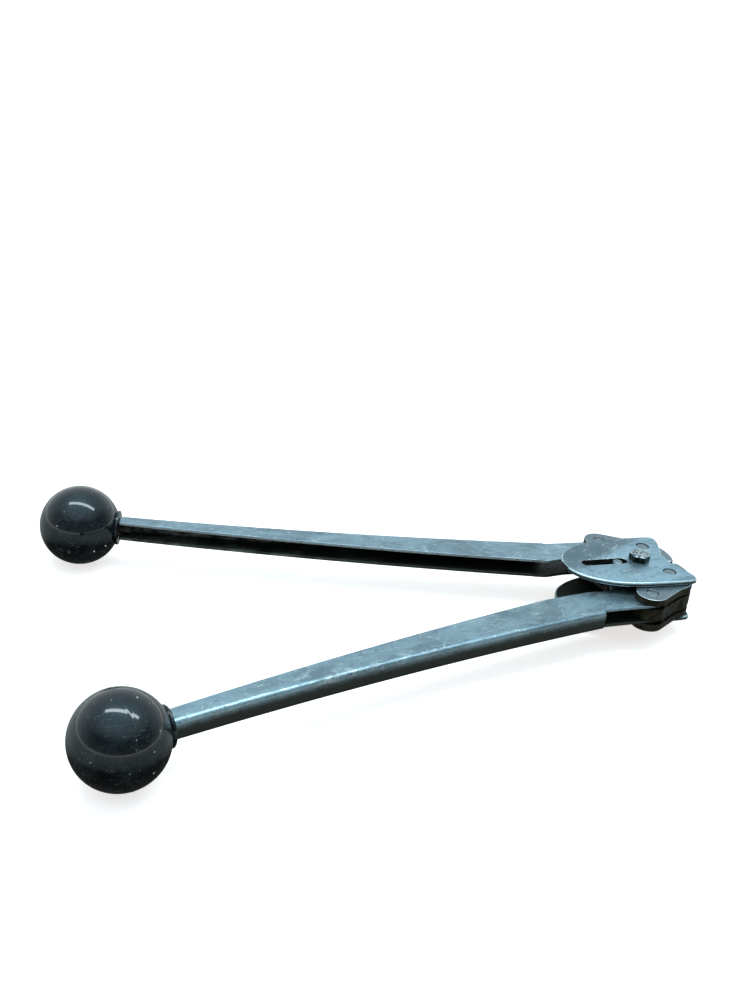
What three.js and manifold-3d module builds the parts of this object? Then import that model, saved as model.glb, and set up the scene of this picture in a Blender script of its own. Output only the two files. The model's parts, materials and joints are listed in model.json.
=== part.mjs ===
// Manual strap sealer. Two ball-ended channel handles work a pair of laminated jaws that are held between
// two side plates, and crimp a metal seal in the notch at the front of the head.
//
// Millimetres, +Z up. The head's own axes start at the centre bolt, half way through the stack, with +X
// towards the jaws and +Y towards the rear handle. The finished group is moved so that its origin is at
// the bottom centre of its box. The stack is the same above and below its middle, so every front piece is
// the rear piece turned half a turn about the X axis.

import * as THREE from 'three';
import { mergeVertices } from 'three/addons/utils/BufferGeometryUtils.js';
import Module from 'manifold-3d';

const wasm = await Module();
wasm.setup();

// ---------------------------------------------------------------- driving dimensions

// Heights in the stack, measured from its middle. Neighbouring layers are 0.3 apart.
const SIDE_PLATE = { low: 10.9, high: 13.9 };
const JAW_PLATE = { low: 6.3, high: 10.6 };
const HANDLE_FLANGE = { low: 4.1, high: 6.0 };
const JAW_CORE = { low: -3.8, high: 3.8 };
const OFFSET_LUG = { low: 1.9, high: 3.8 }; // the front handle's lug is set in by one sheet thickness

// Pivots of the rear half of the linkage.
const JAW_PIVOT = new THREE.Vector2(11.8, 16.9);
const TAIL_PIVOT = new THREE.Vector2(-9, 34.3);
const SLIDE_PIVOT = new THREE.Vector2(-14.5, 0);

// Pins and their holes, as radii.
const PIN_CHAMFER = 0.3;
const JAW_PIN = { radius: 3.6, hole: 3.85, reach: 13.7 };
const TAIL_PIN = { radius: 3.5, hole: 3.75, reach: 10.5 };
const SLIDE_PIN = { radius: 3.0, hole: 4.0, reach: 13.7 }; // the wide hole is the shared pivot's play
const RIVET = { radius: 1.9, hole: 2.15, reach: 10.5, at: new THREE.Vector2(18.6, 24) };
const SLIDE_RING = { inner: 3.25, outer: 5.2, low: 6.4, high: 7.6 };

// Side plates.
const SLOT = { back: -35.45, front: -11.55, halfWidth: 3.25 };
const NOTCH = { depthX: 19.2, halfWidth: 6.8 };

// Jaws.
const JAW_TAIL_RADIUS = 9.5;
const JAW_BOSS_RADIUS = 9;
const SPACER_CLEAR_RADIUS = 7.3;

// Anvil and centre bolt (1/4 inch, 11 mm across the flats).
const ANVIL = { back: -4.6, front: 19, halfWidth: 7.2, halfHeight: 10.6 };
const BOLT = { radius: 3.175, hole: 3.45, flats: 11, headLow: 14.2, headHeight: 4, end: -22.9 };
const BOLT_TIP = 0.6; // chamfer at the threaded end
const WASHER = { radius: 7.5, low: -15.7, high: -14.2 };
const NUT = { low: -21.4, high: -16.0 };
const HEX = { chamfer: 0.7, faceInside: 0.1, rimOutside: 0.2 }; // its end face is inside the flats

// Handles: a pressed channel that widens from the knob to the head.
const BALL = { x: -324.15, y: 110.4, radius: 24 };
const HANDLE_SLOPE = 15.8; // degrees off the tool's axis
const CHANNEL = { start: 24.2, end: 288, sheet: 1.9, bend: 2.8, steps: 12 };
const OUTER_EDGE = { start: 5.6, middle: 5.7, end: 13.2 }; // from the handle's axis to the web's face
const INNER_EDGE = { start: -4.9, middle: -12.0, end: -12.8 }; // from the axis to the flanges' free edges
const LUG = { tailRadius: 6.8, slideRadius: 5.8, overlap: 6, edgeSetBack: 1.6 };
// Directions square to the lug's edge, in degrees, where its rounded ends begin and end.
const LUG_START = 85;
const LUG_SIDE = -7;
const LUG_END = -162;
const LUG_FLARE = [[-25.2, 15.5], [-27.8, 19.4], [-32, 21.1], [-38, 21.2]]; // widens into the flange
const JOGGLE = { from: 18.5, to: 21.5 }; // along the line from the tail pivot to the slide pivot
const BEYOND = 120; // farther than any lug reaches

// Knobs.
const KNOB_BOSS = { radius: 10.5, end: 23.8, chamfer: 0.6 };
const KNOB_BORE = { radius: 5.3, bottom: 8.5 };
const INSERT = { inner: 3.4, outer: 5.0, low: 8.8, high: 23.6 };
const STUD = { radius: 3.15, low: 9.2, high: 31, chamfer: 0.6 };

const ROUND = 20; // sides of a small round piece
const KNOB_SIDES = 32;
const KNOB_RINGS = { behind: 9, before: 6 }; // behind and before the ball's widest circle
const SAME_PLACE = 0.05; // points nearer than this are one point of an outline
const OVERLAP = 0.5; // how far joined solids go into each other
const TURN = Math.PI / 180;

// ---------------------------------------------------------------- geometry helpers

function point(x, y) {
  return new THREE.Vector2(x, y);
}

function arc(center, radius, from, to, steps) {
  const points = [];
  for (let i = 0; i <= steps; i++) {
    const angle = (from + ((to - from) * i) / steps) * TURN;
    points.push(point(center.x + radius * Math.cos(angle), center.y + radius * Math.sin(angle)));
  }
  return points;
}

function circle(center, radius) {
  return arc(center, radius, 0, 360, ROUND).slice(1);
}

function spline(pairs, steps) {
  return new THREE.SplineCurve(pairs.map(([x, y]) => point(x, y))).getPoints(steps);
}

// Joins stretches of an outline and drops the points where two stretches meet.
function outline(...stretches) {
  const kept = [];
  for (const next of stretches.flat()) {
    const last = kept[kept.length - 1];
    if (!last || last.distanceTo(next) > SAME_PLACE) kept.push(next);
  }
  if (kept[0].distanceTo(kept[kept.length - 1]) < SAME_PLACE) kept.pop();
  return kept;
}

function slab(points, holes, low, high) {
  const shape = new THREE.Shape(points);
  for (const hole of holes) shape.holes.push(new THREE.Path(hole));
  const geometry = new THREE.ExtrudeGeometry(shape, { depth: high - low, bevelEnabled: false });
  return geometry.translate(0, 0, low);
}

// A turned piece: [radius, height] pairs, turned about +Z.
function turned(pairs, sides = ROUND) {
  const geometry = new THREE.LatheGeometry(pairs.map(([r, h]) => point(r, h)), sides);
  return geometry.rotateX(90 * TURN);
}

function signedVolume(geometry) {
  const [a, b, c] = [new THREE.Vector3(), new THREE.Vector3(), new THREE.Vector3()];
  const { index } = geometry;
  const position = geometry.attributes.position;
  let sum = 0;
  for (let i = 0; i < index.count; i += 3) {
    a.fromBufferAttribute(position, index.getX(i));
    b.fromBufferAttribute(position, index.getX(i + 1));
    c.fromBufferAttribute(position, index.getX(i + 2));
    sum += a.dot(b.cross(c));
  }
  return sum / 6;
}

// Keeps position only, with shared vertices merged and every face pointing out.
function closed(geometry) {
  const plain = geometry.clone();
  plain.deleteAttribute('normal');
  plain.deleteAttribute('uv');
  const merged = mergeVertices(plain, 1e-3);
  const kept = [];
  for (let i = 0; i < merged.index.count; i += 3) {
    const [a, b, c] = [merged.index.getX(i), merged.index.getX(i + 1), merged.index.getX(i + 2)];
    if (a !== b && b !== c && c !== a) kept.push(a, b, c);
  }
  merged.setIndex(kept);
  if (signedVolume(merged) < 0) {
    for (let i = 0; i < kept.length; i += 3) [kept[i + 1], kept[i + 2]] = [kept[i + 2], kept[i + 1]];
    merged.setIndex(kept);
  }
  return merged;
}

function toSolid(geometry) {
  const merged = closed(geometry);
  const vertProperties = new Float32Array(merged.attributes.position.array);
  const triVerts = new Uint32Array(merged.index.array);
  return new wasm.Manifold(new wasm.Mesh({ numProp: 3, vertProperties, triVerts }));
}

function fromSolid(solid) {
  const { vertProperties, triVerts } = solid.getMesh();
  const geometry = new THREE.BufferGeometry();
  geometry.setAttribute('position', new THREE.BufferAttribute(new Float32Array(vertProperties), 3));
  geometry.setIndex(Array.from(triVerts));
  return geometry;
}

function piece(name, geometry, [color, roughness, metalness]) {
  const shown = closed(geometry);
  shown.computeVertexNormals();
  const mesh = new THREE.Mesh(shown, new THREE.MeshStandardMaterial({ color, roughness, metalness }));
  mesh.name = name;
  return mesh;
}

// ---------------------------------------------------------------- finishes: colour, roughness, metalness

const ZINC = [0x9aa7ab, 0.42, 0.9];
const OILED_STEEL = [0x3b342c, 0.5, 0.8];
const BRIGHT_STEEL = [0xc3c6c6, 0.3, 1.0];
const BRASS = [0xb08d4a, 0.35, 1.0];
const BLACK_PHENOLIC = [0x0c0d10, 0.18, 0.0];

// ---------------------------------------------------------------- frame: side plates, anvil, bolt, pins

// The rear half of the outline: its long edge from the horn to the back end, and its horn.
const PLATE_EDGE = [
  [20, 29.2], [13.9, 29.4], [0, 29.1], [-13.5, 28.2], [-26.2, 25.6], [-37.5, 20.3], [-46.4, 12.2],
];
const PLATE_BACK_END = [-50.3, 0];
const HORN = [
  [20, 29.2], [23.2, 28.6], [25, 26.3], [25.3, 23.2], [24.4, 19], [22.9, 15.3], [21.6, 11.2], [20.5, 7.8],
];

function sidePlateOutline() {
  const mirrored = (pairs) => pairs.map(([x, y]) => [x, -y]).reverse();
  const hornSteps = 16;
  return outline(
    spline([...PLATE_EDGE, PLATE_BACK_END, ...mirrored(PLATE_EDGE)], 44),
    spline(mirrored(HORN).reverse(), hornSteps),
    [point(NOTCH.depthX, -NOTCH.halfWidth), point(NOTCH.depthX, NOTCH.halfWidth)],
    spline([...HORN].reverse(), hornSteps),
  );
}

function slotOutline() {
  const back = point(SLOT.back, 0);
  const front = point(SLOT.front, 0);
  return outline(arc(front, SLOT.halfWidth, -90, 90, 10), arc(back, SLOT.halfWidth, 90, 270, 10));
}

function sidePlate(name, low, high) {
  const frontPivot = point(JAW_PIVOT.x, -JAW_PIVOT.y);
  const holes = [
    circle(point(0, 0), BOLT.hole),
    circle(JAW_PIVOT, JAW_PIN.hole),
    circle(frontPivot, JAW_PIN.hole),
    slotOutline(),
  ];
  return piece(name, slab(sidePlateOutline(), holes, low, high), ZINC);
}

function anvil() {
  const { back, front, halfWidth, halfHeight } = ANVIL;
  const corners = [
    point(back, -halfWidth),
    point(front, -halfWidth),
    point(front, halfWidth),
    point(back, halfWidth),
  ];
  const block = slab(corners, [circle(point(0, 0), BOLT.hole)], -halfHeight, halfHeight);
  return piece('anvil_block', block, OILED_STEEL);
}

// A hexagonal prism with its corners turned off at one end or at both.
function hexagon(low, high, chamferLow, chamferHigh, hole) {
  const corner = BOLT.flats / 2 / Math.cos(30 * TURN);
  const sides = arc(point(0, 0), corner, 30, 390, 6).slice(1);
  const face = BOLT.flats / 2 - HEX.faceInside;
  const rim = corner + HEX.rimOutside;
  const turning = turned([
    [0, low],
    ...(chamferLow ? [[face, low], [rim, low + HEX.chamfer]] : [[rim, low]]),
    ...(chamferHigh ? [[rim, high - HEX.chamfer], [face, high]] : [[rim, high]]),
    [0, high],
  ]);
  const prism = toSolid(slab(sides, hole ? [circle(point(0, 0), hole)] : [], low, high));
  return prism.intersect(toSolid(turning));
}

function centerBolt() {
  const { headLow, headHeight, radius, end } = BOLT;
  const shank = turned([
    [0, end],
    [radius - BOLT_TIP, end],
    [radius, end + BOLT_TIP],
    [radius, headLow + OVERLAP],
    [0, headLow + OVERLAP],
  ]);
  const head = hexagon(headLow, headLow + headHeight, false, true, 0);
  return piece('center_bolt', fromSolid(head.add(toSolid(shank))), BRIGHT_STEEL);
}

function hexNut() {
  return piece('hex_nut', fromSolid(hexagon(NUT.low, NUT.high, true, true, BOLT.hole)), BRIGHT_STEEL);
}

function ring(name, inner, outer, low, high, finish) {
  return piece(name, slab(circle(point(0, 0), outer), [circle(point(0, 0), inner)], low, high), finish);
}

// A plain pin with a small chamfer at both ends.
function pin(name, at, { radius, reach }, finish) {
  const half = [[0, -reach], [radius - PIN_CHAMFER, -reach], [radius, -reach + PIN_CHAMFER]];
  const other = half.map(([r, h]) => [r, -h]).reverse();
  const mesh = piece(name, turned([...half, ...other]), finish);
  mesh.position.set(at.x, at.y, 0);
  return mesh;
}

function frame() {
  const group = new THREE.Group();
  group.add(
    sidePlate('side_plate_top', SIDE_PLATE.low, SIDE_PLATE.high),
    sidePlate('side_plate_bottom', -SIDE_PLATE.high, -SIDE_PLATE.low),
    anvil(),
    centerBolt(),
    ring('bolt_washer', BOLT.hole, WASHER.radius, WASHER.low, WASHER.high, ZINC),
    hexNut(),
    pin('jaw_pivot_pin_rear', JAW_PIVOT, JAW_PIN, BRIGHT_STEEL),
    pin('jaw_pivot_pin_front', point(JAW_PIVOT.x, -JAW_PIVOT.y), JAW_PIN, BRIGHT_STEEL),
  );
  return group;
}

// ---------------------------------------------------------------- jaws

// The hooked nose and outer edge, from the inside of the pivot boss round to the start of the tail.
const HOOK = [[20.1, 8.2], [21.1, 7.1], [21.7, 4.2], [22.5, 1.8], [24, 1.0], [25.8, 1.9], [27.1, 4.6]];
const JAW_FRONT = [
  [27.7, 8.4], [27.8, 12.4], [27.1, 17.2], [25.2, 22.6], [22.2, 27.2], [18, 30.6], [11.5, 33],
];

// Directions square to the jaw's sides, in degrees.
const TAIL_OUTER_NORMAL = 56.5;
const TAIL_INNER_NORMAL = 230;
const BOSS_END_NORMAL = 290; // where the pivot boss meets the hook

// The spacer leaves room for the handle's lug.
const SPACER_TAIL_NORMAL = 5;
const SPACER_BOSS_NORMAL = 215;
const SPACER_CORNER = point(-1.2, 21);

function noseOutline() {
  return spline([...HOOK, ...JAW_FRONT], 26);
}

function jawPlateOutline() {
  return outline(
    arc(TAIL_PIVOT, JAW_TAIL_RADIUS, TAIL_OUTER_NORMAL, TAIL_INNER_NORMAL, 14),
    arc(JAW_PIVOT, JAW_BOSS_RADIUS, TAIL_INNER_NORMAL, BOSS_END_NORMAL, 6),
    noseOutline(),
  );
}

// A spacer fills the handle's layer from the nose back to the handle, and is cut back round its lug.
function jawSpacerOutline() {
  const edge = arc(TAIL_PIVOT, JAW_TAIL_RADIUS, TAIL_OUTER_NORMAL, TAIL_OUTER_NORMAL - 1, 1)[0];
  return outline(
    [edge],
    arc(TAIL_PIVOT, SPACER_CLEAR_RADIUS, TAIL_OUTER_NORMAL, SPACER_TAIL_NORMAL, 6),
    [SPACER_CORNER],
    arc(JAW_PIVOT, JAW_BOSS_RADIUS, SPACER_BOSS_NORMAL, BOSS_END_NORMAL, 7),
    noseOutline(),
  );
}

function jaw(side, turnedOver) {
  const group = new THREE.Group();
  const tailHole = circle(TAIL_PIVOT, TAIL_PIN.hole);
  const fixings = [circle(JAW_PIVOT, JAW_PIN.hole), circle(RIVET.at, RIVET.hole)];
  const above = turnedOver ? 'bottom' : 'top';
  const below = turnedOver ? 'top' : 'bottom';
  for (const [level, sign] of [[above, 1], [below, -1]]) {
    const span = ({ low, high }) => (sign > 0 ? [low, high] : [-high, -low]);
    const plate = slab(jawPlateOutline(), [...fixings, tailHole], ...span(JAW_PLATE));
    const spacer = slab(jawSpacerOutline(), fixings, ...span(HANDLE_FLANGE));
    group.add(
      piece(`jaw_${side}_plate_${level}`, plate, OILED_STEEL),
      piece(`jaw_${side}_spacer_${level}`, spacer, OILED_STEEL),
    );
  }
  const core = slab(jawPlateOutline(), [...fixings, tailHole], JAW_CORE.low, JAW_CORE.high);
  group.add(
    piece(`jaw_${side}_core`, core, OILED_STEEL),
    pin(`jaw_${side}_tail_pin`, TAIL_PIVOT, TAIL_PIN, BRIGHT_STEEL),
    pin(`jaw_${side}_rivet`, RIVET.at, RIVET, BRIGHT_STEEL),
  );
  return group;
}

// ---------------------------------------------------------------- handles

const ALONG = point(Math.cos(HANDLE_SLOPE * TURN), -Math.sin(HANDLE_SLOPE * TURN));
const OUTWARD = point(-ALONG.y, ALONG.x);

// A point of the handle, from its distance along the axis from the ball and its distance outward.
function onHandle(along, outward) {
  return point(
    BALL.x + along * ALONG.x + outward * OUTWARD.x,
    BALL.y + along * ALONG.y + outward * OUTWARD.y,
  );
}

// The smooth curve through three values, at the channel's start, middle and end.
function edgeAt(along, { start, middle, end }) {
  const s = (along - CHANNEL.start) / (CHANNEL.end - CHANNEL.start);
  return start + (4 * middle - 3 * start - end) * s + (2 * start - 4 * middle + 2 * end) * s * s;
}

// The channel's section: x runs inward from the web's face, y is height. FREE_EDGE marks the free edges.
const FREE_EDGE = 20;

function channelSection() {
  const { sheet, bend } = CHANNEL;
  const { low, high } = HANDLE_FLANGE;
  const inside = bend - sheet;
  const corner = (y, radius, from, to) => arc(point(bend, y), radius, from, to, 4);
  return outline(
    [point(FREE_EDGE, high)],
    corner(high - bend, bend, 90, 180),
    corner(bend - high, bend, 180, 270),
    [point(FREE_EDGE, -high), point(FREE_EDGE, -low)],
    corner(inside - low, inside, 270, 180),
    corner(low - inside, inside, 180, 90),
    [point(FREE_EDGE, low)],
  );
}

function channel() {
  const options = { depth: 1, steps: CHANNEL.steps, bevelEnabled: false };
  const geometry = new THREE.ExtrudeGeometry(new THREE.Shape(channelSection()), options);
  const position = geometry.attributes.position;
  for (let i = 0; i < position.count; i++) {
    const along = CHANNEL.end - (CHANNEL.end - CHANNEL.start) * position.getZ(i);
    const web = edgeAt(along, OUTER_EDGE);
    const inward = position.getX(i);
    const outward = inward === FREE_EDGE ? edgeAt(along, INNER_EDGE) : web - inward;
    const plan = onHandle(along, outward);
    position.setXYZ(i, plan.x, plan.y, position.getY(i));
  }
  return toSolid(geometry);
}

// Beyond the end of the web each flange runs on to the tail pivot and to the shared slide pivot.
function lugOutline() {
  const back = CHANNEL.end - LUG.overlap;
  const edge = (along) => onHandle(along, edgeAt(along, OUTER_EDGE) - CHANNEL.bend);
  const cut = onHandle(CHANNEL.end, edgeAt(CHANNEL.end, OUTER_EDGE) - LUG.edgeSetBack);
  return outline(
    [edge(back), edge(CHANNEL.end), cut],
    arc(TAIL_PIVOT, LUG.tailRadius, LUG_START, LUG_SIDE, 8),
    arc(SLIDE_PIVOT, LUG.slideRadius, LUG_SIDE, LUG_END, 12),
    spline(LUG_FLARE, 8),
    [onHandle(CHANNEL.end, INNER_EDGE.end), onHandle(back, edgeAt(back, INNER_EDGE))],
  );
}

function lug(low, high) {
  const holes = [circle(TAIL_PIVOT, TAIL_PIN.hole), circle(SLIDE_PIVOT, SLIDE_PIN.hole)];
  return toSolid(slab(lugOutline(), holes, low, high));
}

// All that lies between two distances from the tail pivot, measured towards the slide pivot.
function band(from, to) {
  const axis = SLIDE_PIVOT.clone().sub(TAIL_PIVOT).normalize();
  const across = point(-axis.y, axis.x).multiplyScalar(BEYOND);
  const start = TAIL_PIVOT.clone().addScaledVector(axis, from);
  const end = TAIL_PIVOT.clone().addScaledVector(axis, to);
  const corners = [
    start.clone().sub(across),
    end.clone().sub(across),
    end.clone().add(across),
    start.clone().add(across),
  ];
  return toSolid(slab(corners, [], -HANDLE_FLANGE.high - OVERLAP, HANDLE_FLANGE.high + OVERLAP));
}

// The rear handle's lugs lie in one layer. The front handle's step inward to pass between them.
function handleBody(offset) {
  let solid = channel();
  for (const sign of [1, -1]) {
    const layer = (low, high) => (sign > 0 ? lug(low, high) : lug(-high, -low));
    const straight = layer(HANDLE_FLANGE.low, HANDLE_FLANGE.high);
    if (offset) {
      const step = layer(OFFSET_LUG.low, HANDLE_FLANGE.high).intersect(band(JOGGLE.from, JOGGLE.to));
      const inner = layer(OFFSET_LUG.low, OFFSET_LUG.high).intersect(band(JOGGLE.from, BEYOND));
      solid = solid.add(straight.intersect(band(-BEYOND, JOGGLE.to))).add(step).add(inner);
    } else {
      solid = solid.add(straight);
    }
  }
  return fromSolid(solid);
}

function knobProfile() {
  const { radius: bore, bottom } = KNOB_BORE;
  const { radius, end, chamfer } = KNOB_BOSS;
  const rim = Math.acos(radius / BALL.radius) / TURN;
  const stretch = (from, to, steps) => arc(point(0, 0), BALL.radius, from, to, steps);
  const half = outline(stretch(-90, 0, KNOB_RINGS.behind), stretch(0, rim, KNOB_RINGS.before));
  const ball = half.map(({ x, y }) => [x, y]);
  ball[0][0] = 0;
  const boss = [[radius, end - chamfer], [radius - chamfer, end]];
  return [...ball, ...boss, [bore, end], [bore, bottom], [0, bottom]];
}

function handle(side, offset) {
  const group = new THREE.Group();
  group.add(piece(`handle_${side}_channel`, handleBody(offset), ZINC));
  const end = new THREE.Group();
  end.position.set(BALL.x, BALL.y, 0);
  end.rotation.z = -HANDLE_SLOPE * TURN;
  const { low, high, inner, outer } = INSERT;
  const insert = [[inner, low], [outer, low], [outer, high], [inner, high], [inner, low]];
  const { radius, chamfer } = STUD;
  const stud = [
    [0, STUD.low],
    [radius - chamfer, STUD.low],
    [radius, STUD.low + chamfer],
    [radius, STUD.high - chamfer],
    [radius - chamfer, STUD.high],
    [0, STUD.high],
  ];
  const lying = (geometry) => geometry.rotateY(90 * TURN);
  end.add(
    piece(`ball_knob_${side}`, lying(turned(knobProfile(), KNOB_SIDES)), BLACK_PHENOLIC),
    piece(`knob_insert_${side}`, lying(turned(insert)), BRASS),
    piece(`knob_stud_${side}`, lying(turned(stud)), OILED_STEEL),
  );
  group.add(end);
  return group;
}

// ---------------------------------------------------------------- sliding pivot shared by the handles

function slider() {
  const group = new THREE.Group();
  const { inner, outer, low, high } = SLIDE_RING;
  group.add(
    pin('slide_pin', point(0, 0), SLIDE_PIN, BRIGHT_STEEL),
    ring('slide_ring_top', inner, outer, low, high, BRIGHT_STEEL),
    ring('slide_ring_bottom', inner, outer, -high, -low, BRIGHT_STEEL),
  );
  group.position.set(SLIDE_PIVOT.x, SLIDE_PIVOT.y, 0);
  return group;
}

// ---------------------------------------------------------------- assembly

const front = new THREE.Group();
front.rotation.x = 180 * TURN;
front.add(jaw('front', true), handle('front', true));

const tool = new THREE.Group();
tool.add(frame(), jaw('rear', false), handle('rear', false), front, slider());

const sealer = new THREE.Group();
sealer.add(tool);
const box = new THREE.Box3().setFromObject(sealer, true);
tool.position.set(-(box.min.x + box.max.x) / 2, -(box.min.y + box.max.y) / 2, -box.min.z);

export default sealer;
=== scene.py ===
# The finished look of a manual strap sealer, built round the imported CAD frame: +Z up, +X towards the jaws.
# Plates take their outlines from the CAD nodes that they stand for. Turned pieces, channels and knobs have
# the CAD's sizes, with the roundings and threads that the CAD leaves out. Meshes are made in millimetres and
# scaled to metres when they are shown; materials, light and camera are in metres.

import json
import math

import bmesh
import bpy
from mathutils import Matrix, Vector
from mathutils.geometry import delaunay_2d_cdt


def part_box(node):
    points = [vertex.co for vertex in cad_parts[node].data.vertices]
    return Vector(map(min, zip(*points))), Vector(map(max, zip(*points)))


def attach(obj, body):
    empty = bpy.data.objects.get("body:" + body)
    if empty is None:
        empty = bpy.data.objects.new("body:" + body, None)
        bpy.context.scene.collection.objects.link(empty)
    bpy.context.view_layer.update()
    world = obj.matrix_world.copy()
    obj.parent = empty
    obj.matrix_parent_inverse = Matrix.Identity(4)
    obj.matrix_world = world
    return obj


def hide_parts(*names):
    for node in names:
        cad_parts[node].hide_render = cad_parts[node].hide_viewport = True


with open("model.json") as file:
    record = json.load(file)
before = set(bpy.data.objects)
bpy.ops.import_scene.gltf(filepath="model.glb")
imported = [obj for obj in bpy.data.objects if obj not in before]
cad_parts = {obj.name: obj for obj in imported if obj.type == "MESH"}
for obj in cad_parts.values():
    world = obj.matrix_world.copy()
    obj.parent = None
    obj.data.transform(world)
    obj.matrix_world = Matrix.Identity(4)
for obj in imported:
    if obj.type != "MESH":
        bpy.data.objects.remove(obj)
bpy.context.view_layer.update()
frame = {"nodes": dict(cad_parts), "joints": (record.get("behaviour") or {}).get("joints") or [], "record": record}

MM = 0.001  # a millimetre in metres
RECORD = frame["record"]
BODY = {node: body for body, nodes in RECORD["behaviour"]["bodies"].items() for node in nodes}
SLOT = {part["node"]: part["material_slot"] for part in RECORD["subparts"]}
JOINT = {joint["name"]: joint for joint in frame["joints"]}
SIDES = ("rear", "front")

CORNER_TURN = math.radians(26)  # an outline that turns more than this at a point has a corner there
SHARP_EDGE = math.radians(32)  # faces that meet at more than this are shaded with a sharp edge
SOFTEN_FROM = math.radians(40)  # and soften() rounds the edges that are sharper than this


def box(node):
    """A CAD node's lowest and highest corners, in millimetres."""
    low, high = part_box(node)
    return low / MM, high / MM


MIDDLE = (box("side_plate_bottom")[0].z + box("side_plate_top")[1].z) / 2  # height of the stack's middle


# ---------------------------------------------------------------- outlines in plan

def turn(before, here, after):
    """How far a line of points turns at one of them, in radians."""
    return (here - before).angle(after - here, 0.0)


def face_outlines(node, height):
    """The closed outlines of a CAD node's flat face at a height, with the material on their left."""
    mesh = frame["nodes"][node].data
    edges = set()
    for face in mesh.polygons:
        corners = [mesh.vertices[i].co for i in face.vertices]
        if face.normal.z > 0.9 and all(abs(co.z / MM - height) < 1e-3 for co in corners):
            places = [(co.x / MM, co.y / MM) for co in corners]
            edges.update(zip(places, places[1:] + places[:1]))
    ahead = {a: b for a, b in edges if (b, a) not in edges}
    outlines = []
    while ahead:
        start, place = ahead.popitem()
        outline = [start]
        while place != start:
            outline.append(place)
            place = ahead.pop(place)
        outlines.append([Vector(p) for p in outline])
    return sorted(outlines, key=length_round, reverse=True)


def length_round(outline):
    return sum((a - b).length for a, b in zip(outline, outline[1:] + outline[:1]))


def filleted(points, radius, closed=True, steps=4):
    """Rounds each corner of a line of points."""
    made = []
    last = len(points) - 1
    for i, corner in enumerate(points):
        before, after = points[i - 1], points[(i + 1) % len(points)]
        if (not closed and i in (0, last)) or turn(before, corner, after) < CORNER_TURN:
            made.append(corner)
            continue
        reach = min(radius, 0.45 * (before - corner).length, 0.45 * (after - corner).length)
        start = corner + (before - corner).normalized() * reach
        end = corner + (after - corner).normalized() * reach
        for k in range(steps + 1):
            t = k / steps
            made.append(start * (1 - t) ** 2 + corner * 2 * t * (1 - t) + end * t * t)
    return made


def finer(outline, rounds=2):
    """Adds points to a closed outline, on a smooth curve through its own, and keeps its corners."""
    for _ in range(rounds):
        count = len(outline)
        sharp = [
            turn(outline[i - 1], outline[i], outline[(i + 1) % count]) > CORNER_TURN
            for i in range(count)
        ]
        made = []
        for i, here in enumerate(outline):
            ahead = outline[(i + 1) % count]
            across = ahead - here
            back = -across if sharp[i] else outline[i - 1] - here
            on = across if sharp[(i + 1) % count] else outline[(i + 2) % count] - ahead
            back *= min(1, across.length / back.length)
            on *= min(1, across.length / on.length)
            made += [here, (here + ahead) / 2 - (back + on) / 16]
        outline = made
    return outline


def room(outline):
    """How far each point of an outline can move to its left before the outline would cross itself."""
    safe, slope = 0.35, 0.5  # share of the radius of a bend, and how fast the distance may change
    count = len(outline)
    steps = [(here - outline[i - 1]).length for i, here in enumerate(outline)]  # from the point before
    free = []
    for i, here in enumerate(outline):
        back, on = here - outline[i - 1], outline[(i + 1) % count] - here
        bend = back.angle(on, 0.0) if back.cross(on) > 0 else 0.0
        free.append(safe * (back.length + on.length) / bend if bend > 1e-4 else 1e3)
    for _ in range(2):
        for i in range(count):
            free[i] = min(free[i], free[i - 1] + slope * steps[i])
        for i in reversed(range(count)):
            free[i - 1] = min(free[i - 1], free[i] + slope * steps[i])
    return free


def inset(outline, distances):
    """The outline with each point moved to its left by its distance, square to the outline."""
    least = 0.6  # holds back the spike at a sharp corner
    made = []
    for i, (here, distance) in enumerate(zip(outline, distances)):
        back = (here - outline[i - 1]).normalized()
        on = (outline[(i + 1) % len(outline)] - here).normalized()
        left = Vector((-(back + on).y, (back + on).x)).normalized()
        made.append(here + left * distance / max(least, left.dot(Vector((-on.y, on.x)))))
    return made


# ---------------------------------------------------------------- meshes

def bridge(bm, ring, following):
    """Faces between two rings of the same number of points, or between a ring and a single point."""
    count = max(len(ring), len(following))
    for i in range(count):
        j = (i + 1) % count
        corners = [ring[i % len(ring)], ring[j % len(ring)]]
        corners += [following[j % len(following)], following[i % len(following)]]
        bm.faces.new(list(dict.fromkeys(corners)))


def mesh_of(bm, name):
    bmesh.ops.recalc_face_normals(bm, faces=bm.faces)
    mesh = bpy.data.meshes.new(name)
    bm.to_mesh(mesh)
    bm.free()
    return mesh


def is_within(place, outlines):
    """True if a place in plan is inside an odd number of closed outlines."""
    within = False
    for outline in outlines:
        for a, b in zip(outline, outline[1:] + outline[:1]):
            if (a.y > place.y) != (b.y > place.y):
                crossing = a.x + (place.y - a.y) / (b.y - a.y) * (b.x - a.x)
                within ^= place.x < crossing
    return within


def fill(bm, rings):
    """Fills a flat face between an outer ring of points and the rings of its holes with triangles."""
    outlines = [[vertex.co.xy for vertex in ring] for ring in rings]
    vertices = [vertex for ring in rings for vertex in ring]
    edges = []
    for ring in rings:
        first = len(edges)
        edges += [(first + i, first + (i + 1) % len(ring)) for i in range(len(ring))]
    places, _, triangles, origins, _, _ = delaunay_2d_cdt([v.co.xy for v in vertices], edges, [], 0, 1e-6)
    for triangle in triangles:
        if is_within(sum((places[i] for i in triangle), Vector((0, 0))) / 3, outlines):
            bm.faces.new([vertices[origins[i][0]] for i in triangle])


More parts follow.
